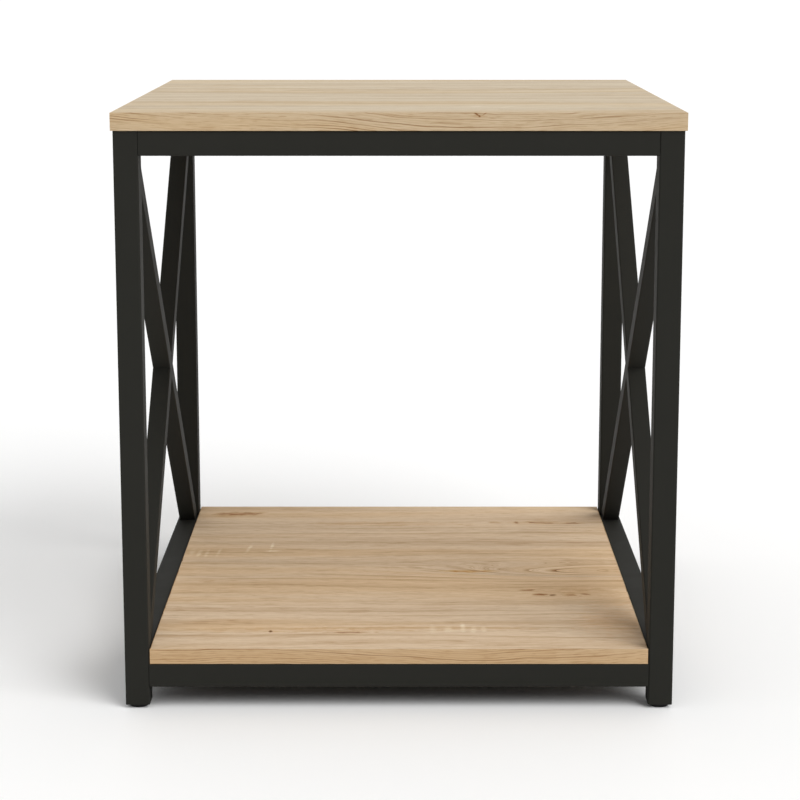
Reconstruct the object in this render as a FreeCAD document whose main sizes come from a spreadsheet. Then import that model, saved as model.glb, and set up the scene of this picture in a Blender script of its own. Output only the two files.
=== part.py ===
import FreeCAD, Part
import math
import os
import re
import Sketcher

# Open two-shelf nightstand: an oak-faced top board and lower shelf on a frame of square steel tube.
# Each side of the frame has two legs and two rails with crossed braces between them.
# Front and back rails join the sides, all welded, and each leg stands on a levelling foot.
# The origin is on the floor under the middle. +X is to the right, -Y to the front and +Z up.

# Driving sizes in millimetres, each written once.
SIZES = {
    "overall_height": 616,
    "top_width": 570,
    "top_depth": 570,
    "top_thickness": 18,
    "top_overhang": 2,
    "shelf_thickness": 16,
    "shelf_side_gap": 1,
    "band_thickness": 1,
    "band_edge_round": 0.6,
    "frame_tube": 25,
    "frame_wall": 1.5,
    "frame_corner": 1.8,
    "low_rail_rise": 19,
    "side_rail_drop": 4,
    "brace_tube": 20,
    "brace_wall": 1.2,
    "brace_corner": 1.5,
    "brace_drop": 10,
    "foot_height": 4,
    "foot_diameter": 20,
    "foot_seat_gap": 0.3,
    "stud_diameter": 6,
    "stud_length": 24,
    "stud_play": 0.05,
    "plug_length": 20,
    "plug_play": 0.05,
    "screw_diameter": 4,
    "screw_bite": 12,
    "screw_head_diameter": 8,
    "screw_head_height": 2.4,
    "screw_end_gap": 90,
    "screw_play": 0.25,
    "driver_hole_diameter": 10,
    "pilot_play": 0.05,
    "pilot_end_length": 1,
}

# Sizes that follow from the driving ones, as sums of their names.
DERIVED = {
    "frame_width": "top_width - 2 * top_overhang",
    "frame_depth": "top_depth - 2 * top_overhang",
    "leg_x": "(frame_width - frame_tube) / 2",
    "leg_y": "(frame_depth - frame_tube) / 2",
    "leg_length": "overall_height - top_thickness - foot_height",
    "rail_length": "frame_width - 2 * frame_tube",
    "window_depth": "frame_depth - 2 * frame_tube",
    "window_top": "overall_height - top_thickness - frame_tube",
    "shelf_seat": "foot_height + low_rail_rise + frame_tube",
    "window_base": "shelf_seat + shelf_thickness - side_rail_drop",
    "window_height": "window_top - window_base",
    "brace_middle": "(window_top + window_base) / 2 - brace_drop",
    "top_rail_z": "window_top + frame_tube / 2",
    "low_rail_z": "shelf_seat - frame_tube / 2",
    "low_side_rail_z": "window_base - frame_tube / 2",
    "brace_lean": "atan(window_depth / window_height)",
    "brace_stock": "sqrt(window_depth ^ 2 + window_height ^ 2) + 2 * brace_tube",
    "plug_side": "frame_tube - 2 * frame_wall - 2 * plug_play",
    "board_top_seat": "overall_height - top_thickness",
    "shelf_width": "rail_length - 2 * shelf_side_gap",
    "screw_x": "rail_length / 2 - screw_end_gap",
    "screw_length": "frame_wall + screw_bite",
    "foot_pad_height": "foot_height - foot_seat_gap",
}


def sized(text):
    """The sum with each derived size written out and each driving size read from its cell."""

    def word(match):
        name = match.group()
        if name in DERIVED:
            return "(" + sized(DERIVED[name]) + ")"
        if name in SIZES:
            return "Sizes." + name
        return name

    return re.sub(r"[a-z_]+", word, text)


# Each sketch is drawn at this size before its constraints give it the real one.
UNIT = 1.0

X = FreeCAD.Vector(1, 0, 0)
Y = FreeCAD.Vector(0, 1, 0)
Z = FreeCAD.Vector(0, 0, 1)
UPRIGHT = FreeCAD.Rotation()
# A turn about the X axis, whose angle is bound to the braces' slope.
LEAN = FreeCAD.Rotation(X, UNIT)
# A piece drawn along its own Z axis is laid along X or Y with its own Y axis up.
ALONG_X = FreeCAD.Rotation(Y, Z, X, "ZYX")
ALONG_Y = FreeCAD.Rotation(-X, Z, Y, "ZYX")
SIDES = (("left", -1), ("right", 1))
ENDS = (("front", -1), ("back", 1))

doc = FreeCAD.newDocument("nightstand")
sheet = doc.addObject("Spreadsheet::Sheet", "Sizes")
for row, (name, value) in enumerate(SIZES.items(), start=1):
    sheet.set("A%d" % row, name)
    sheet.set("B%d" % row, str(value))
    sheet.setAlias("B%d" % row, name)
doc.recompute()

nodes = []


def finish(piece, label):
    """Label a finished piece and list it for export."""
    piece.Label = label
    nodes.append(piece)


def signed(sign, text):
    """The sum in text, or its negative."""
    return text if sign > 0 else "-(%s)" % text


def new_sketch(body, plane):
    """A sketch on one of the body's own origin planes, such as XY_Plane."""
    sketch = body.newObject("Sketcher::SketchObject", body.Name + "_sketch")
    origin = [item for item in body.Origin.OriginFeatures if item.Role == plane][0]
    sketch.AttachmentSupport = [(origin, "")]
    sketch.MapMode = "FlatFace"
    return sketch


def bind(sketch, text, kind, *ends):
    """Add a constraint whose value is the sum in text."""
    number = sketch.addConstraint(Sketcher.Constraint(kind, *ends, UNIT))
    sketch.setExpression("Constraints[%d]" % number, sized(text))


def put_point(sketch, line, point, across, up):
    """Hold a point at signed distances across and up from the origin."""
    for kind, axis, text in (("DistanceX", -2, across), ("DistanceY", -1, up)):
        if text == "0":
            sketch.addConstraint(Sketcher.Constraint("PointOnObject", line, point, axis))
        elif text.startswith("-"):
            bind(sketch, text[1:], kind, line, point, -1, 1)
        else:
            bind(sketch, text, kind, -1, 1, line, point)


def draw_circle(sketch, diameter, across="0", up="0"):
    """A circle whose centre is at signed distances from the origin."""
    number = sketch.addGeometry(Part.Circle(FreeCAD.Vector(UNIT, UNIT, 0), Z, UNIT))
    bind(sketch, diameter, "Diameter", number)
    put_point(sketch, number, 3, across, up)


def draw_outline(sketch, points):
    """A closed outline of straight lines through points at signed distances from the origin."""
    first = sketch.GeometryCount
    start = [FreeCAD.Vector(step, step * step, 0) * UNIT for step in range(len(points))]
    for here, there in zip(start, start[1:] + start[:1]):
        sketch.addGeometry(Part.LineSegment(here, there))
    for step, (across, up) in enumerate(points):
        line = first + step
        following = first + (step + 1) % len(points)
        sketch.addConstraint(Sketcher.Constraint("Coincident", line, 2, following, 1))
        put_point(sketch, line, 1, across, up)


def draw_square(sketch, side):
    """A square about the origin with sharp corners."""
    half = "(%s) / 2" % side
    less = "-(%s) / 2" % side
    draw_outline(sketch, ((less, less), (half, less), (half, half), (less, half)))


def draw_rounded_square(sketch, side, corner):
    """A square about the origin whose corners are tangent arcs."""
    bend = UNIT
    flat = bend + UNIT
    reach = flat + bend
    first = sketch.GeometryCount
    rims = (((-flat, -reach), (flat, -reach)), ((reach, -flat), (reach, flat)),
            ((flat, reach), (-flat, reach)), ((-reach, flat), (-reach, -flat)))
    for here, there in rims:
        sketch.addGeometry(Part.LineSegment(FreeCAD.Vector(*here, 0), FreeCAD.Vector(*there, 0)))
    quarter = math.pi / 2
    signs = ((1, -1), (1, 1), (-1, 1), (-1, -1))
    for turn, (across, up) in enumerate(signs):
        circle = Part.Circle(FreeCAD.Vector(across * flat, up * flat, 0), Z, bend)
        sketch.addGeometry(Part.ArcOfCircle(circle, quarter * (turn - 1), quarter * turn))
    centre = "(%s) / 2 - (%s)" % (side, corner)
    for turn, (across, up) in enumerate(signs):
        line = first + turn
        arc = line + len(signs)
        following = first + (turn + 1) % len(signs)
        sketch.addConstraint(Sketcher.Constraint("Tangent", line, 2, arc, 1))
        sketch.addConstraint(Sketcher.Constraint("Tangent", arc, 2, following, 1))
        bind(sketch, corner, "Radius", arc)
        put_point(sketch, arc, 3, signed(across, centre), signed(up, centre))


def pad(body, sketch, length, centred=False):
    """Push the sketch's outline out into a solid of the given length."""
    feature = body.newObject("PartDesign::Pad", body.Name + "_pad")
    feature.Profile = sketch
    feature.setExpression("Length", sized(length))
    feature.SideType = "Symmetric" if centred else "One side"
    body.Tip = feature


def drill(body, sketch, depth, centred=False, forward=False):
    """Cut the sketch's outline into the solid and check that it took material away."""
    doc.recompute()
    before = body.Shape.Volume
    feature = body.newObject("PartDesign::Pocket", body.Name + "_hole")
    feature.Profile = sketch
    feature.setExpression("Length", sized(depth))
    feature.SideType = "Symmetric" if centred else "One side"
    feature.Reversed = forward
    body.Tip = feature
    doc.recompute()
    if not body.Shape.Volume < before:
        raise ValueError(body.Name + " lost no material to its hole")


def round_edges(body, radius, chosen):
    """Round those edges of the solid for which chosen(edge) is true."""
    doc.recompute()
    base = body.Tip
    names = ["Edge%d" % number for number, edge in enumerate(base.Shape.Edges, start=1) if chosen(edge)]
    feature = body.newObject("PartDesign::Fillet", body.Name + "_round")
    feature.Base = (base, names)
    feature.setExpression("Radius", sized(radius))
    body.Tip = feature


def place(piece, x, y, z, turn=UPRIGHT):
    """Turn the piece and bind its origin to the given sums."""
    piece.Placement = FreeCAD.Placement(FreeCAD.Vector(0, 0, 0), turn)
    for axis, text in (("x", x), ("y", y), ("z", z)):
        if text != "0":
            piece.setExpression("Placement.Base." + axis, sized(text))


def tube(name, side, wall, corner, length, centred=True):
    """A length of square tube along the body's Z axis, with rolled outer corners."""
    body = doc.addObject("PartDesign::Body", name)
    section = new_sketch(body, "XY_Plane")
    draw_rounded_square(section, side, corner)
    draw_square(section, side + " - 2 * " + wall)
    pad(body, section, length, centred)
    return body


def turned(name, points):
    """A round piece turned about the body's Z axis from one half of its outline."""
    body = doc.addObject("PartDesign::Body", name)
    half = new_sketch(body, "XZ_Plane")
    draw_outline(half, points)
    feature = body.newObject("PartDesign::Revolution", name + "_turning")
    feature.Profile = half
    feature.ReferenceAxis = (half, ["V_Axis"])
    body.Tip = feature
    return body


def group(label, pieces):
    """Like pieces kept as one node of separate solids."""
    together = doc.addObject("Part::Compound", label)
    together.Links = pieces
    finish(together, label)


# Legs: square tube from just above the floor to the top board.
for side, across in SIDES:
    for end, along in ENDS:
        name = end + "_" + side + "_leg"
        leg = tube(name, "frame_tube", "frame_wall", "frame_corner", "leg_length", False)
        place(leg, signed(across, "leg_x"), signed(along, "leg_y"), "foot_height")
        finish(leg, name)

# Front and back rails, whose faces are level with the legs': the low ones carry the shelf.
# For each wood screw the upper wall has a close hole and the lower wall a wide one for the driver.
for end, along in ENDS:
    for level, height in (("top", "top_rail_z"), ("bottom", "low_rail_z")):
        name = end + "_" + level + "_rail"
        cross_rail = tube(name, "frame_tube", "frame_wall", "frame_corner", "rail_length")
        close_holes = new_sketch(cross_rail, "XZ_Plane")
        driver_holes = new_sketch(cross_rail, "XZ_Plane")
        for spot in ("screw_x", "-screw_x"):
            draw_circle(close_holes, "screw_diameter + 2 * screw_play", up=spot)
            draw_circle(driver_holes, "driver_hole_diameter", up=spot)
        drill(cross_rail, close_holes, "frame_tube")
        drill(cross_rail, driver_holes, "frame_tube", forward=True)
        place(cross_rail, "0", signed(along, "leg_y"), height, ALONG_X)
        finish(cross_rail, name)

# Side rails between the legs of a side: the low one's upper face is just below the shelf's.
for side, across in SIDES:
    for level, height in (("top", "top_rail_z"), ("bottom", "low_side_rail_z")):
        name = side + "_" + level + "_rail"
        side_rail = tube(name, "frame_tube", "frame_wall", "frame_corner", "window_depth")
        place(side_rail, signed(across, "leg_x"), "0", height, ALONG_Y)
        finish(side_rail, name)

# Crossed braces: smaller square tube, centred in the thickness of the side frame.
# They lie along the window's diagonals and cross a little below its middle.
# One bar runs whole from the front top corner to the back bottom one.
# The other is in two halves that butt on the whole bar, and every end is mitred into its corner.
for side, across in SIDES:
    middle = (signed(across, "leg_x"), "0", "brace_middle")
    window = doc.addObject("Part::Box", side + "_window")
    window.setExpression("Length", sized("frame_tube"))
    window.setExpression("Width", sized("window_depth"))
    window.setExpression("Height", sized("window_height"))
    place(window, middle[0] + " - frame_tube / 2", "-window_depth / 2", "window_base")

    stock = {}
    for bar, lean in (("falling", "brace_lean"), ("rising", "-brace_lean")):
        name = side + "_" + bar + "_stock"
        stock[bar] = tube(name, "brace_tube", "brace_wall", "brace_corner", "brace_stock")
        place(stock[bar], *middle, LEAN)
        stock[bar].setExpression("Placement.Rotation.Angle", sized(lean))

    whole = doc.addObject("Part::MultiCommon", side + "_brace_whole")
    whole.Shapes = [stock["falling"], window]
    finish(whole, side + "_brace_whole")

    for half, lean in (("upper", "brace_lean"), ("lower", "brace_lean + 180 deg")):
        # The space on one side of the whole bar, in which this half of the other bar lies.
        beyond = doc.addObject("PartDesign::Body", side + "_beyond_" + half)
        section = new_sketch(beyond, "XY_Plane")
        near, far, wide = "brace_tube / 2", "brace_stock", "2 * brace_tube"
        draw_outline(section, (("0", near), (wide, near), (wide, far), ("0", far)))
        pad(beyond, section, "2 * brace_stock", True)
        place(beyond, middle[0] + " - brace_tube", *middle[1:], LEAN)
        beyond.setExpression("Placement.Rotation.Angle", sized(lean))
        piece = doc.addObject("Part::MultiCommon", side + "_brace_" + half)
        piece.Shapes = [stock["rising"], window, beyond]
        finish(piece, side + "_brace_" + half + "_half")


# A wood screw stands in each of these places, given as signs and sums across and along.
SCREW_SPOTS = [(a + "screw_x", b + "leg_y") for a in ("", "-") for b in ("", "-")]


def is_outer_long_edge(edge):
    """True for the two edges along a band's length on the side away from the board."""
    extent = edge.BoundBox
    lengthwise = extent.ZLength > extent.XLength + extent.YLength
    return lengthwise and edge.CenterOfMass.x > sheet.band_thickness / 2


def board(name, width, depth, thickness, height):
    """A panel with blind pilot holes in its underside and a plastic band glued to each edge."""
    core = doc.addObject("PartDesign::Body", name)
    face = new_sketch(core, "XY_Plane")
    right = "(%s) / 2 - band_thickness" % width
    back = "(%s) / 2 - band_thickness" % depth
    left, front = "-(%s)" % right, "-(%s)" % back
    draw_outline(face, ((left, front), (right, front), (right, back), (left, back)))
    pad(core, face, thickness)
    pilots = new_sketch(core, "XY_Plane")
    for across, up in SCREW_SPOTS:
        draw_circle(pilots, "screw_diameter + 2 * pilot_play", across, up)
    drill(core, pilots, "screw_bite + pilot_end_length", forward=True)
    place(core, "0", "0", height)
    finish(core, name)

    # The front and back bands cover the ends of the side ones.
    bands = (
        ("front", FreeCAD.Rotation(-Y, Z, -X, "ZYX"), "0", front, width),
        ("back", FreeCAD.Rotation(Y, Z, X, "ZYX"), "0", back, width),
        ("left", FreeCAD.Rotation(-X, Z, Y, "ZYX"), left, "0", depth + " - 2 * band_thickness"),
        ("right", FreeCAD.Rotation(X, Z, -Y, "ZYX"), right, "0", depth + " - 2 * band_thickness"),
    )
    for edge, turn, x, y, length in bands:
        band = doc.addObject("PartDesign::Body", name + "_band_" + edge)
        section = new_sketch(band, "XY_Plane")
        out = "band_thickness"
        draw_outline(section, (("0", "0"), (out, "0"), (out, thickness), ("0", thickness)))
        pad(band, section, length, True)
        round_edges(band, "band_edge_round", is_outer_long_edge)
        place(band, x, y, height, turn)
        finish(band, name + "_band_" + edge)


# Top board on the four top rails, and shelf board on the two low rails between the side frames.
board("top_board", "top_width", "top_depth", "top_thickness", "board_top_seat")
board("shelf_board", "shelf_width", "frame_depth", "shelf_thickness", "shelf_seat")

# Pan-head wood screws, whose heads sit inside the rails, under the wall that each board lies on.
for label, seat in (("top_board_screws", "board_top_seat"), ("shelf_board_screws", "shelf_seat")):
    screws = []
    for number, (across, up) in enumerate(SCREW_SPOTS, start=1):
        head = "screw_head_diameter / 2"
        shank = "screw_diameter / 2"
        tip = "screw_head_height + screw_length"
        screw = turned("%s_%d" % (label, number), (
            ("0", "0"),
            (head, "0"),
            (head, "screw_head_height"),
            (shank, "screw_head_height"),
            (shank, tip),
            ("0", tip),
        ))
        place(screw, across, up, seat + " - frame_wall - screw_head_height")
        screws.append(screw)
    group(label, screws)

# Levelling feet: a plastic pad on a steel stud, screwed up into a threaded plug in the leg's end.
for side, across in SIDES:
    for end, along in ENDS:
        x, y = signed(across, "leg_x"), signed(along, "leg_y")
        name = end + "_" + side + "_foot"

        plug = doc.addObject("PartDesign::Body", name + "_plug")
        section = new_sketch(plug, "XY_Plane")
        draw_square(section, "plug_side")
        draw_circle(section, "stud_diameter + 2 * stud_play")
        pad(plug, section, "plug_length")
        place(plug, x, y, "foot_height")
        finish(plug, name + "_plug")

        shank = "stud_diameter / 2"
        stud_top = "foot_pad_height + stud_length"
        stud = turned(name + "_stud", (
            ("0", "foot_pad_height"),
            (shank, "foot_pad_height"),
            (shank, stud_top),
            ("0", stud_top),
        ))
        place(stud, x, y, "0")
        finish(stud, name + "_stud")

        foot = turned(name, (
            ("0", "0"),
            ("foot_diameter / 2", "0"),
            ("foot_diameter / 2", "foot_pad_height"),
            ("0", "foot_pad_height"),
        ))
        place(foot, x, y, "0")
        finish(foot, name)

doc.recompute()
for item in doc.Objects:
    if "Invalid" in item.State or "Error" in item.State:
        raise ValueError(item.Name + " did not build: " + ", ".join(item.State))

os.makedirs("parts", exist_ok=True)
for piece in nodes:
    shape = piece.Shape
    if shape.isNull() or not shape.isValid() or not shape.Solids:
        raise ValueError(piece.Label + " has no valid solid")
    shape.exportStep("parts/" + piece.Label + ".step")
    print("%-28s %d solid(s) %10.1f mm3" % (piece.Label, len(shape.Solids), shape.Volume))
print(len(nodes), "nodes")
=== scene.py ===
import math

import bpy
import numpy as np
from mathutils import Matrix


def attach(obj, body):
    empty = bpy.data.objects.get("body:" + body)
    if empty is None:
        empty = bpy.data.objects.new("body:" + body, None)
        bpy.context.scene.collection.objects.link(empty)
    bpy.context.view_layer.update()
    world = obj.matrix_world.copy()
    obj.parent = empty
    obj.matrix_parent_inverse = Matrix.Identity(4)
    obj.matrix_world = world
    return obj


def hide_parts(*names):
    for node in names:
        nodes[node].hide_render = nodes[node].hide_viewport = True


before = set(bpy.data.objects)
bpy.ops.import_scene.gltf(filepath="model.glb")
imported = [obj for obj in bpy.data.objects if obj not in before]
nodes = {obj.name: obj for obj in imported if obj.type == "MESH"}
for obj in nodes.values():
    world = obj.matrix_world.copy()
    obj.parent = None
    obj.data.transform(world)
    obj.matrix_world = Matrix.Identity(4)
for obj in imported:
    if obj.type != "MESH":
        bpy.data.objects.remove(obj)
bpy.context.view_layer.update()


# Steel frame: legs, rails and crossed braces of square tube, welded and the joints ground flush.
# The whole frame is powder coated at once, a semi-matt charcoal with a fine orange-peel texture.

def add(tree, kind, inputs=None, **settings):
    """A shader node with its settings, whose inputs are linked or set by name or number."""
    made = tree.nodes.new("ShaderNode" + kind)
    for name, value in settings.items():
        setattr(made, name, value)
    for name, value in (inputs or {}).items():
        if isinstance(value, bpy.types.NodeSocket):
            tree.links.new(value, made.inputs[name])
        else:
            made.inputs[name].default_value = value
    return made


def calc(tree, operation, *values):
    """The result of a Math node whose inputs are sockets or numbers."""
    return add(tree, "Math", dict(enumerate(values)), operation=operation).outputs[0]


def remap(tree, value, low, high, to_low, to_high):
    """The value carried smoothly from one range to another and held at its ends."""
    inputs = {"Value": value, 1: low, 2: high, 3: to_low, 4: to_high}
    return add(tree, "MapRange", inputs, interpolation_type="SMOOTHSTEP").outputs[0]


def stretch(tree, place, scale, shift):
    """The place moved by shift after each of its axes is scaled."""
    return add(tree, "Mapping", {"Vector": place, "Scale": scale, "Location": shift}).outputs[0]


def noise(tree, place, rate=1.0, detail=3.0, roughness=0.5):
    """Fractal noise from 0 to 1, with about rate blotches to each unit of the place."""
    inputs = {"Vector": place, "Scale": rate, "Detail": detail, "Roughness": roughness}
    return add(tree, "TexNoise", inputs).outputs["Fac"]


def blend(tree, factor, first, second):
    """Two colours mixed by a factor."""
    made = add(tree, "Mix", data_type="RGBA")
    for number, value in ((0, factor), (6, first), (7, second)):
        if isinstance(value, bpy.types.NodeSocket):
            tree.links.new(value, made.inputs[number])
        else:
            made.inputs[number].default_value = value
    return made.outputs[2]


def material(name):
    """A new material, its node tree, its shader node and a place socket in the object's own metres."""
    made = bpy.data.materials.new(name)
    made.use_nodes = True
    tree = made.node_tree
    shader = tree.nodes["Principled BSDF"]
    place = add(tree, "TexCoord").outputs["Object"]
    return made, tree, shader, place


def dress(object_names, finish):
    """Give each named CAD piece the finish in all its material slots."""
    for name in object_names:
        slots = nodes[name].data.materials
        for number in range(len(slots)):
            slots[number] = finish


def powder_coat():
    """Charcoal powder coat.

    The colour varies by a few per cent over patches some 40 mm across. The bump is a shallow
    0.8 mm orange peel with a 0.25 mm grain on it, and the roughness follows the same grain.
    """
    made, tree, shader, place = material("powder_coat")
    patches = noise(tree, place, rate=25.0, detail=4.0)
    peel = noise(tree, place, rate=1250.0, detail=1.0)
    grain = noise(tree, place, rate=4200.0, detail=1.0)
    colour = blend(tree, patches, (0.0183, 0.0180, 0.0149, 1.0), (0.0226, 0.0223, 0.0187, 1.0))
    tree.links.new(colour, shader.inputs["Base Color"])
    rough = calc(tree, "ADD", remap(tree, patches, 0.3, 0.7, 0.60, 0.66), calc(tree, "MULTIPLY", grain, 0.06))
    tree.links.new(rough, shader.inputs["Roughness"])
    height = calc(tree, "ADD", peel, calc(tree, "MULTIPLY", grain, 0.25))
    bump = add(tree, "Bump", {"Height": height, "Strength": 0.18, "Distance": 0.00004})
    tree.links.new(bump.outputs[0], shader.inputs["Normal"])
    shader.inputs["Specular IOR Level"].default_value = 0.09
    return made


steel_names = [name for name in nodes if name.endswith(("_leg", "_rail")) or "_brace_" in name]
dress(steel_names, powder_coat())


# Boards: a laminated core faced with light rustic oak, its grain along X, matt lacquered.
# The top board lies on the four top rails, and the shelf between the side frames on the two low ones.

def hump(tree, place, along_at, across_at, length, width):
    """How far a place lies from a point, with the half length and half width of a patch as units."""
    inputs = {"Vector": place, "Location": (-along_at / length, -across_at / width, 0.0),
              "Scale": (1.0 / length, 1.0 / width, 0.0)}
    offset = add(tree, "Mapping", inputs).outputs[0]
    return add(tree, "VectorMath", {0: offset}, operation="LENGTH").outputs["Value"]


def oak(name, order, palest, fine, bold, depth, rings, spacing, seed,
        cores=(), boost=0.0, marks=(), sway=0.040, shine=0.12, shade_backing_below=None):
    """Light rustic oak.

    order names which of X, Y and Z runs along the grain, across it and through the board. The
    grain's own coordinate is the distance across, swayed by noise that is long along the grain,
    plus a hump exp(-r^2) at each core that the saw cut through, so that the grain flows round it.
    Bands, streaks, hair lines and fibres are noise stretched along that flow, with about fine hair
    lines to a metre across. A growth line lies where the coordinate passes a whole number of
    spacings, each with its own random strength, and is stronger by the share boost at a core.
    Bands and streaks times bold, hair lines, fibres and pores times depth, and growth lines times
    rings add up to a darkness. The colour is the palest one times exp(-darkness), where red
    darkens least and blue most, so that darker grain is browner. A mark adds its own darkness in
    red, green and blue over a streaky, ragged patch. Each seed takes the noise from another place.
    shine is the specular level, and below the given height the board has a dark backing sheet, which is partly
    real backing and partly painted shade that deepens the shade on the floor beneath the board.
    """
    darkening = (0.72, 1.0, 1.35)
    warmth = (0.0, 0.055, 0.16)
    made, tree, shader, place = material(name)
    parts = add(tree, "SeparateXYZ", {0: place}).outputs
    place = add(tree, "CombineXYZ", {number: parts[axis] for number, axis in enumerate(order)}).outputs[0]
    along, across, through = add(tree, "SeparateXYZ", {0: place}).outputs[:3]
    shift = (seed * 3.7, seed * 1.9, seed * 5.3)

    def fibrous(where, long, cross, **look):
        """Noise with about long blotches to a metre along the grain, and cross to a metre across it."""
        return noise(tree, stretch(tree, where, (long, cross, cross), shift), **look)

    slow = fibrous(place, 2.4, 7.0, detail=1.0)
    quick = fibrous(place, 11.0, 50.0, detail=2.0)
    grain = calc(tree, "MULTIPLY_ADD", slow, sway, calc(tree, "MULTIPLY_ADD", quick, sway * 0.12, across))
    near = 0.0
    for along_at, across_at, length, width, amount in cores:
        reach = hump(tree, place, along_at, across_at, length, width)
        fall = calc(tree, "EXPONENT", calc(tree, "MULTIPLY", calc(tree, "MULTIPLY", reach, reach), -1.0))
        grain = calc(tree, "MULTIPLY_ADD", fall, amount, grain)
        near = calc(tree, "ADD", near, fall)
    flow = add(tree, "CombineXYZ", {0: along, 1: grain, 2: through}).outputs[0]

    bands = fibrous(flow, 1.5, 0.14 * fine, detail=1.0)
    streaks = fibrous(flow, 7.0, 0.6 * fine, detail=3.0, roughness=0.6)
    hairs = fibrous(flow, 20.0, fine, detail=2.0, roughness=0.7)
    fibre = fibrous(flow, 30.0, 2.6 * fine, detail=3.0, roughness=0.7)
    hair = remap(tree, hairs, 0.56, 0.66, 0.0, 0.27)
    hair = calc(tree, "MULTIPLY", hair, remap(tree, bands, 0.35, 0.62, 1.0, 0.45))
    uneven = fibrous(flow, 0.5, 30.0, detail=2.0)
    phase = calc(tree, "ADD", calc(tree, "DIVIDE", grain, spacing), calc(tree, "MULTIPLY", uneven, 3.0))
    ring = calc(tree, "FRACT", phase)
    number = calc(tree, "ADD", calc(tree, "FLOOR", phase), seed)
    chance = add(tree, "TexWhiteNoise", {"W": number}, noise_dimensions="1D").outputs["Value"]
    fading = fibrous(flow, 6.5, 40.0, detail=3.0)
    line = calc(tree, "MULTIPLY", calc(tree, "POWER", ring, 5.0), remap(tree, ring, 0.94, 1.0, 1.0, 0.0))
    line = calc(tree, "MULTIPLY", line, remap(tree, chance, 0.30, 0.95, 0.10, 0.75))
    line = calc(tree, "MULTIPLY", line, remap(tree, fading, 0.36, 0.60, 0.08, 1.0))
    line = calc(tree, "MULTIPLY", line, calc(tree, "MULTIPLY_ADD", near, boost, 1.0))
    pores = fibrous(flow, 75.0, 1500.0, detail=1.0)
    pit = remap(tree, pores, 0.58, 0.70, 0.0, 1.0)
    broad = remap(tree, bands, 0.30, 0.60, 0.31, 0.0)
    broad = calc(tree, "ADD", broad, remap(tree, streaks, 0.30, 0.50, 0.08, 0.0))
    thin = calc(tree, "ADD", hair, remap(tree, fibre, 0.30, 0.70, 0.19, 0.0))
    thin = calc(tree, "MULTIPLY", calc(tree, "MULTIPLY_ADD", pit, 0.25, thin), depth)
    dark = calc(tree, "MULTIPLY_ADD", broad, bold, calc(tree, "MULTIPLY_ADD", line, rings, thin))
    warm = remap(tree, fibrous(flow, 1.3, 18.0, detail=3.0), 0.42, 0.64, 0.0, 1.0)
    tint = add(tree, "VectorMath", {0: warm, 1: warmth}, operation="MULTIPLY").outputs[0]
    dim = add(tree, "VectorMath", {0: dark, 1: darkening, 2: tint}, operation="MULTIPLY_ADD").outputs[0]

    ragged = fibrous(place, 110.0, 420.0, detail=3.0, roughness=0.6)
    grit = remap(tree, fibrous(flow, 60.0, 420.0, detail=2.0), 0.42, 0.56, 0.35, 1.0)
    for along_at, across_at, length, width, lean, darkness in marks:
        moved = stretch(tree, place, (1.0, 1.0, 0.0), (-along_at, -across_at, 0.0))
        turned = add(tree, "VectorRotate", {"Vector": moved, "Angle": lean}, rotation_type="Z_AXIS").outputs[0]
        reach = hump(tree, turned, 0.0, 0.0, length, width)
        reach = calc(tree, "MULTIPLY_ADD", calc(tree, "SUBTRACT", ragged, 0.5), 1.6, reach)
        patch = calc(tree, "MULTIPLY", remap(tree, reach, 0.2, 1.0, 1.0, 0.0), grit)
        dim = add(tree, "VectorMath", {0: patch, 1: darkness, 2: dim}, operation="MULTIPLY_ADD").outputs[0]

    dim = add(tree, "SeparateXYZ", {0: dim}).outputs
    kept = {}
    for part in range(3):
        left = calc(tree, "EXPONENT", calc(tree, "MULTIPLY", dim[part], -1.0))
        kept[part] = calc(tree, "MULTIPLY", left, palest[part])
    colour = add(tree, "CombineColor", kept).outputs[0]
    # Under the board the colour turns to a dark grey-brown backing sheet: partly real backing, and partly painted
    # shade that keeps the floor beneath the board in deep shade.
    if shade_backing_below:
        speckle = fibrous(place, 60.0, 300.0, detail=3.0)
        shade_backing = blend(tree, speckle, (0.085, 0.062, 0.042, 1.0), (0.125, 0.095, 0.068, 1.0))
        colour = blend(tree, calc(tree, "LESS_THAN", through, shade_backing_below), colour, shade_backing)
    tree.links.new(colour, shader.inputs["Base Color"])

    rough = calc(tree, "MULTIPLY_ADD", streaks, 0.14, remap(tree, pit, 0.0, 1.0, 0.58, 0.70))
    tree.links.new(rough, shader.inputs["Roughness"])
    height = calc(tree, "SUBTRACT", calc(tree, "MULTIPLY", fibre, 0.6), calc(tree, "MULTIPLY", pit, 0.5))
    height = calc(tree, "SUBTRACT", height, calc(tree, "MULTIPLY", line, 0.8))
    bump = add(tree, "Bump", {"Height": height, "Strength": 0.5, "Distance": 0.0001})
    tree.links.new(bump.outputs[0], shader.inputs["Normal"])
    shader.inputs["Specular IOR Level"].default_value = shine
    return made


# What a mark adds to the darkness in red, green and blue. Each mark below is its place along and
# across the grain, its half length and half width, its lean in radians and one of these.
soft_brown = (0.17, 0.27, 0.40)
brown = (0.80, 1.30, 1.80)
dark_brown = (1.60, 2.20, 2.80)
golden = (0.28, 0.72, 1.70)
# The next colour is painted shade: a warm brown darkening that stands in for the shadow the right front leg casts
# on the shelf.
painted_warm_shade = (0.02, 0.12, 0.24)
amber = (0.11, 0.22, 0.38)
pale = (-0.18, -0.30, -0.42)
faint = (-0.09, -0.13, -0.18)
top_oak = oak(
    "top_oak", (0, 1, 2), (0.645, 0.563, 0.436), 300.0, 0.50, 0.90, 1.00, 0.012, 1.0,
    cores=((-0.060, 0.030, 0.340, 0.080, 0.062),), boost=0.9,
    marks=(
        (-0.162, -0.111, 0.030, 0.010, 0.0, soft_brown), (-0.209, 0.179, 0.022, 0.010, 0.0, soft_brown),
        (0.079, -0.199, 0.008, 0.022, 0.4, faint), (0.109, -0.205, 0.008, 0.022, 0.5, faint),
    ),
)
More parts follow.
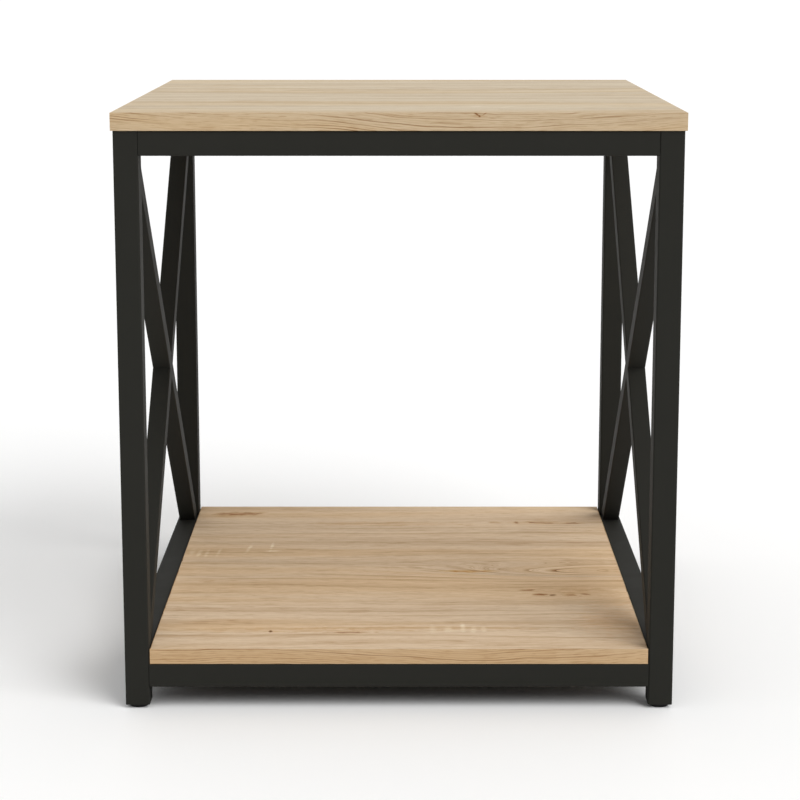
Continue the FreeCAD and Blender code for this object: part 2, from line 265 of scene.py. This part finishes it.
# The shelf's oak is its own wood colour, but its palest colour is set paler than the top's as painted light,
# making up for the shade that the top board casts on the shelf.
shelf_oak = oak(
    "shelf_oak", (0, 1, 2), (0.798, 0.637, 0.464), 260.0, 0.60, 0.98, 0.85, 0.014, 2.0,
    cores=((0.250, -0.010, 0.180, 0.028, 0.065),), boost=4.5,
    marks=(
        (-0.207, 0.247, 0.034, 0.010, -0.03, brown), (-0.185, 0.252, 0.022, 0.007, -0.2, soft_brown),
        (-0.224, 0.238, 0.030, 0.014, 0.1, soft_brown),
        (0.079, -0.006, 0.040, 0.0060, 0.0, golden),
        (-0.136, -0.225, 0.0026, 0.005, 0.0, dark_brown), (-0.120, -0.221, 0.150, 0.012, 0.0, amber),
        (-0.051, -0.229, 0.030, 0.0030, 0.0, brown), (0.040, -0.216, 0.160, 0.010, 0.0, amber),
        (-0.020, 0.200, 0.130, 0.014, 0.0, amber),
        (0.120, 0.206, 0.010, 0.009, 0.6, soft_brown), (0.148, 0.205, 0.004, 0.006, 0.0, brown),
        (0.180, 0.203, 0.075, 0.011, 0.0, amber), (0.178, 0.204, 0.022, 0.004, 0.1, brown),
        (0.217, 0.202, 0.014, 0.004, -0.1, brown),
        (0.145, -0.080, 0.012, 0.0042, -0.12, brown), (0.158, -0.096, 0.012, 0.0046, 0.0, brown),
        (0.172, -0.098, 0.005, 0.0046, 0.3, dark_brown), (0.192, -0.100, 0.012, 0.0040, 0.0, brown),
        (0.209, -0.095, 0.008, 0.0036, 0.2, brown), (0.200, -0.085, 0.060, 0.022, 0.0, soft_brown),
        # The second mark on the next line is painted shade: a broad warm patch over the shelf's right front
        # corner, where the right front leg casts its shadow.
        (-0.218, -0.045, 0.014, 0.008, 0.0, soft_brown), (0.235, -0.190, 0.060, 0.090, 0.0, painted_warm_shade),
        (-0.248, 0.073, 0.0050, 0.024, 0.05, pale), (-0.239, 0.069, 0.0040, 0.022, 0.05, pale),
        (-0.230, 0.068, 0.0034, 0.022, 0.05, pale), (-0.216, 0.073, 0.0032, 0.024, 0.08, pale),
        (-0.181, 0.088, 0.0034, 0.026, 0.14, pale), (-0.154, 0.098, 0.0028, 0.026, 0.05, pale),
        (-0.150, 0.078, 0.0130, 0.005, 0.00, pale),
        (0.036, -0.217, 0.0048, 0.017, 0.0, pale), (0.052, -0.218, 0.0064, 0.013, 0.10, pale),
        (0.068, -0.213, 0.0042, 0.022, 0.0, pale), (0.079, -0.219, 0.0052, 0.016, 0.1, pale),
        (0.090, -0.217, 0.0042, 0.013, 0.0, pale), (0.060, -0.224, 0.0160, 0.005, 0.0, pale),
    ),
    shine=0.05,
    # The shelf's underside is dark: partly real backing, and partly painted shade for the floor beneath it.
    shade_backing_below=0.0485,
)
dress(["top_board"], top_oak)
dress(["shelf_board"], shelf_oak)


# Edge bands: 1 mm plastic strip glued to all four edges of each board, printed with the same oak.
# Its two outer arrises are scraped round after gluing.

for board, seed, palest in (("top_board", 3.607, (0.643, 0.513, 0.353)),
                            ("shelf_board", 9.100, (0.631, 0.470, 0.305))):
    for edge, order in (("front", (0, 2, 1)), ("back", (0, 2, 1)), ("left", (1, 2, 0)), ("right", (1, 2, 0))):
        marks = ()
        if edge == "front" and board == "top_board":
            marks = (
                (0.0770, 0.6142, 0.0042, 0.0011, 0.50, brown), (0.0840, 0.6144, 0.0048, 0.0011, -0.55, brown),
                (0.0795, 0.6128, 0.0016, 0.0014, 0.0, brown),
                (0.0790, 0.6130, 0.0120, 0.0022, 0.0, soft_brown),
            )
        band_oak = oak(board + "_" + edge + "_oak", order, palest, 640.0, 0.18, 1.00, 2.70, 0.0022,
                       seed, marks=marks, sway=0.055)
        dress([board + "_band_" + edge], band_oak)
        seed += 1.0


# Fixings: pan-head wood screws, zinc plated, driven up from inside the rails into each board.
# The head bears on the rail's upper wall, 1.5 mm thick, and 12 mm of thread bites in the board.

def turned_skin(name, radius, height, places):
    """A closed skin turned round the Z axis, and a copy of it at each place.

    Each row of radius and height is one turn from angle 0, bottom row first, so a point lies at
    (radius cos angle, radius sin angle, height). The first and last rows close on the axis.
    """
    rows, columns = radius.shape
    angle = np.arange(columns) * 2.0 * np.pi / columns
    ring = np.stack([radius * np.cos(angle), radius * np.sin(angle), height], axis=-1).reshape(-1, 3)
    poles = [[0.0, 0.0, height[0].mean()], [0.0, 0.0, height[-1].mean()]]
    skin = np.concatenate([ring, poles])
    first = np.arange(columns)
    second = np.roll(first, -1)
    lift = columns * np.arange(rows - 1)[:, None]
    quads = np.stack([lift + first, lift + second, lift + second + columns, lift + first + columns], axis=-1)
    bottom = np.stack([second, first, np.full(columns, rows * columns)], axis=-1)
    last = (rows - 1) * columns
    top = np.stack([last + first, last + second, np.full(columns, rows * columns + 1)], axis=-1)
    faces = []
    for number in range(len(places)):
        step = number * len(skin)
        faces += (quads.reshape(-1, 4) + step).tolist() + (bottom + step).tolist() + (top + step).tolist()
    mesh = bpy.data.meshes.new(name)
    mesh.from_pydata((skin[None] + np.array(places)[:, None]).reshape(-1, 3).tolist(), [], faces)
    mesh.polygons.foreach_set("use_smooth", [True] * len(faces))
    mesh.set_sharp_from_angle(angle=math.radians(32.0))
    made = bpy.data.objects.new(name, mesh)
    bpy.context.scene.collection.objects.link(made)
    return made


def thread(height, start, end, root, crest, pitch, width):
    """The radius of a right-hand thread at each point of a grid of heights.

    The ridge is crest at its middle and falls in a straight line to root on both sides, over the
    given share of the pitch. It rises along the axis by one pitch each turn, and runs out over
    one pitch at both ends.
    """
    turn = np.arange(height.shape[1]) / height.shape[1]
    across = np.abs((height - start) / pitch - turn - np.round((height - start) / pitch - turn))
    ridge = np.clip(1.0 - 2.0 * across / width, 0.0, 1.0)
    run_out = np.clip((height - start) / pitch, 0.0, 1.0) * np.clip((end - height) / pitch, 0.0, 1.0)
    return root + (crest - root) * ridge * run_out


def pan_head_screw(name, seat, places):
    """Wood screws whose heads touch the seat from below.

    The head's face is a shallow dome with a cross pressed in it: a point within 0.55 mm of either
    axis and 2.3 mm of the middle sinks by up to 1.3 mm. The shank has a 1.8 mm thread and a
    point that narrows over its last 3 mm.
    """
    columns = 64
    head_radius, head_height, cross_depth, length = 0.0040, 0.0024, 0.0013, 0.0135
    root, crest, pitch = 0.00135, 0.0019, 0.0018
    angle = np.arange(columns) * 2.0 * np.pi / columns
    face_radius = np.linspace(0.0001, head_radius, 24)[:, None] * np.ones(columns)
    near = np.minimum(np.abs(face_radius * np.cos(angle)), np.abs(face_radius * np.sin(angle)))
    sunk = np.clip((0.00065 - near) / 0.0002, 0.0, 1.0) * np.clip((0.0024 - face_radius) / 0.0003, 0.0, 1.0)
    dome = 0.0016 - 0.0016 * np.sqrt(np.clip(1.0 - (face_radius / 0.0041) ** 2, 0.0, 1.0))
    face_height = seat - head_height + dome + cross_depth * sunk
    rim_height = seat - np.linspace(0.0007, 0.0, 3)[:, None] * np.ones(columns)
    rim_radius = np.full_like(rim_height, head_radius)
    shank_height = seat + np.linspace(0.0, length, 96)[:, None] * np.ones(columns)
    shank_radius = thread(shank_height, seat + 0.0012, seat + length, root, crest, pitch, 0.5)
    shank_radius *= np.clip((seat + length + 0.0001 - shank_height) / 0.0030, 0.05, 1.0)
    radius = np.concatenate([face_radius, rim_radius, shank_radius])
    height = np.concatenate([face_height, rim_height, shank_height])
    return turned_skin(name, radius, height, [(x, y, 0.0) for x, y in places])


def zinc():
    """Bright zinc plate with a fine mottle of about 3 mm in its colour and roughness."""
    made, tree, shader, place = material("zinc")
    mottle = noise(tree, place, rate=330.0, detail=3.0)
    colour = blend(tree, mottle, (0.50, 0.52, 0.54, 1.0), (0.68, 0.69, 0.70, 1.0))
    tree.links.new(colour, shader.inputs["Base Color"])
    tree.links.new(remap(tree, mottle, 0.3, 0.7, 0.28, 0.42), shader.inputs["Roughness"])
    bump = add(tree, "Bump", {"Height": mottle, "Strength": 0.3, "Distance": 0.00003})
    tree.links.new(bump.outputs[0], shader.inputs["Normal"])
    shader.inputs["Metallic"].default_value = 1.0
    return made


zinc_plate = zinc()
tube_middle = 0.2705
screw_places = [(x, y) for x in (-0.168, 0.168) for y in (-tube_middle, tube_middle)]
for board, seat in (("top_board", 0.5965), ("shelf_board", 0.0465)):
    screws = pan_head_screw(board + "_wood_screws", seat, screw_places)
    screws.data.materials.append(zinc_plate)
    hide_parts(board + "_screws")
    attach(screws, "frame")


# Feet: a black nylon pad on an M6 stud, which turns in a threaded square plug in the leg's end.
# The pad is moulded with rounded edges and a hollow sole, so that it stands on its rim.

def nylon():
    """Black moulded nylon, matt, with a spark-eroded texture of about 0.4 mm."""
    made, tree, shader, place = material("nylon")
    texture = noise(tree, place, rate=2500.0, detail=2.0)
    colour = blend(tree, texture, (0.006, 0.006, 0.006, 1.0), (0.011, 0.011, 0.011, 1.0))
    tree.links.new(colour, shader.inputs["Base Color"])
    tree.links.new(remap(tree, texture, 0.3, 0.7, 0.50, 0.62), shader.inputs["Roughness"])
    bump = add(tree, "Bump", {"Height": texture, "Strength": 0.4, "Distance": 0.00005})
    tree.links.new(bump.outputs[0], shader.inputs["Normal"])
    shader.inputs["Specular IOR Level"].default_value = 0.15
    return made


def foot_pad(name, x, y):
    """A round pad 20 mm across and 3.7 mm tall.

    Its side is a profile of two quarter circles, 1.1 mm at the sole and 0.5 mm at the top, and
    its sole rises by 0.5 mm inside a ring 3 mm wide.
    """
    low = np.linspace(-0.5 * np.pi, 0.0, 9)
    high = np.linspace(0.0, 0.5 * np.pi, 6)
    sole_radius = np.array([0.0010, 0.0040, 0.0062, 0.0065, 0.0070, 0.0080])
    sole_height = np.array([0.0005, 0.0005, 0.0005, 0.0004, 0.0000, 0.0000])
    profile_radius = [sole_radius, 0.0089 + 0.0011 * np.cos(low), 0.0095 + 0.0005 * np.cos(high), [0.0060, 0.0010]]
    profile_height = [sole_height, 0.0011 + 0.0011 * np.sin(low), 0.0032 + 0.0005 * np.sin(high), [0.0037, 0.0037]]
    radius = np.concatenate(profile_radius)[:, None] * np.ones(64)
    height = np.concatenate(profile_height)[:, None] * np.ones(64)
    return turned_skin(name, radius, height, [(x, y, 0.0)])


def foot_stud(name, x, y):
    """An M6 stud with a 1 mm thread from the pad to a 1 mm chamfer at its top."""
    base, top, root, crest, pitch = 0.0037, 0.0277, 0.0024, 0.00298, 0.0010
    height = np.linspace(base, top, 193)[:, None] * np.ones(40)
    radius = thread(height, base, top + pitch, root, crest, pitch, 1.0)
    radius = np.minimum(radius, 0.0020 + np.clip(top - height, 0.0, None))
    return turned_skin(name, radius, height, [(x, y, 0.0)])


dress([name for name in nodes if name.endswith("_plug")], zinc_plate)
black_nylon = nylon()
for end, y in (("front", -tube_middle), ("back", tube_middle)):
    for side, x in (("left", -tube_middle), ("right", tube_middle)):
        foot = end + "_" + side + "_foot"
        for piece, finish, node, slot in (
            (foot_pad(foot + "_pad", x, y), black_nylon, foot, "black_plastic"),
            (foot_stud(foot + "_threaded_stud", x, y), zinc_plate, foot + "_stud", "zinc_plated_steel"),
        ):
            piece.data.materials.append(finish)
            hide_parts(node)
            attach(piece, foot)


# Studio: a white floor that runs out of the picture, and a soft sun from the right and the front.
# The sky lights the table most from above, the right and behind, and looks white where it is seen.

def flat_square(name, half, height):
    """A level square of the given half side, centred on the origin at a height."""
    mesh = bpy.data.meshes.new(name)
    corners = [(-half, -half, height), (half, -half, height), (half, half, height), (-half, half, height)]
    mesh.from_pydata(corners, [], [(0, 1, 2, 3)])
    made = bpy.data.objects.new(name, mesh)
    bpy.context.scene.collection.objects.link(made)
    return made


floor = flat_square("floor", 60.0, 0.0)
floor_white, tree, shader, place = material("floor_white")
shader.inputs["Base Color"].default_value = (0.985, 0.985, 0.982, 1.0)
shader.inputs["Roughness"].default_value = 0.9
shader.inputs["Specular IOR Level"].default_value = 0.0
floor.data.materials.append(floor_white)

world = bpy.data.worlds.new("sky")
bpy.context.scene.world = world
world.use_nodes = True
sky = world.node_tree
sky.nodes.clear()
ray = add(sky, "LightPath").outputs
seen = calc(sky, "MAXIMUM", ray["Is Glossy Ray"], ray["Is Transmission Ray"])
seen = calc(sky, "MAXIMUM", ray["Is Camera Ray"], seen)
toward = add(sky, "SeparateXYZ", {0: add(sky, "TexCoord").outputs["Generated"]}).outputs
horizon, overhead, dim_side, bright_side, seen_white = 0.05, 1.10, 0.73, 1.25, 0.975
lift = calc(sky, "POWER", calc(sky, "MAXIMUM", toward[2], 0.0), 1.2)
lift = calc(sky, "MULTIPLY_ADD", lift, overhead, horizon)
lean = calc(sky, "MULTIPLY_ADD", toward[1], 0.5, toward[0])
side = add(sky, "MapRange", {"Value": lean, 1: -1.0, 2: 1.0, 3: dim_side, 4: bright_side}).outputs[0]
level = add(sky, "MapRange", {"Value": seen, 3: calc(sky, "MULTIPLY", lift, side), 4: seen_white}).outputs[0]
glow = add(sky, "Background", {"Color": (1.0, 1.0, 1.0, 1.0), "Strength": level})
add(sky, "OutputWorld", {"Surface": glow.outputs[0]})

sun_data = bpy.data.lights.new("sun", "SUN")
sun_data.energy = 1.62
sun_data.angle = math.radians(40.0)
sun = bpy.data.objects.new("sun", sun_data)
sun.rotation_euler = (math.radians(50.0), 0.0, math.radians(48.0))
bpy.context.scene.collection.objects.link(sun)

camera_data = bpy.data.cameras.new("camera")
camera_data.sensor_width = 36.0
camera_data.lens = 93.11
camera_data.shift_y = -0.10
camera_data.clip_end = 200.0
camera = bpy.data.objects.new("camera", camera_data)
camera.location = (0.0011, -2.3265, 0.7635)
camera.rotation_euler = (math.pi / 2 - 0.1720, 0.0, 0.0)
bpy.context.scene.collection.objects.link(camera)
bpy.context.scene.camera = camera
bpy.context.scene.view_settings.view_transform = "Standard"
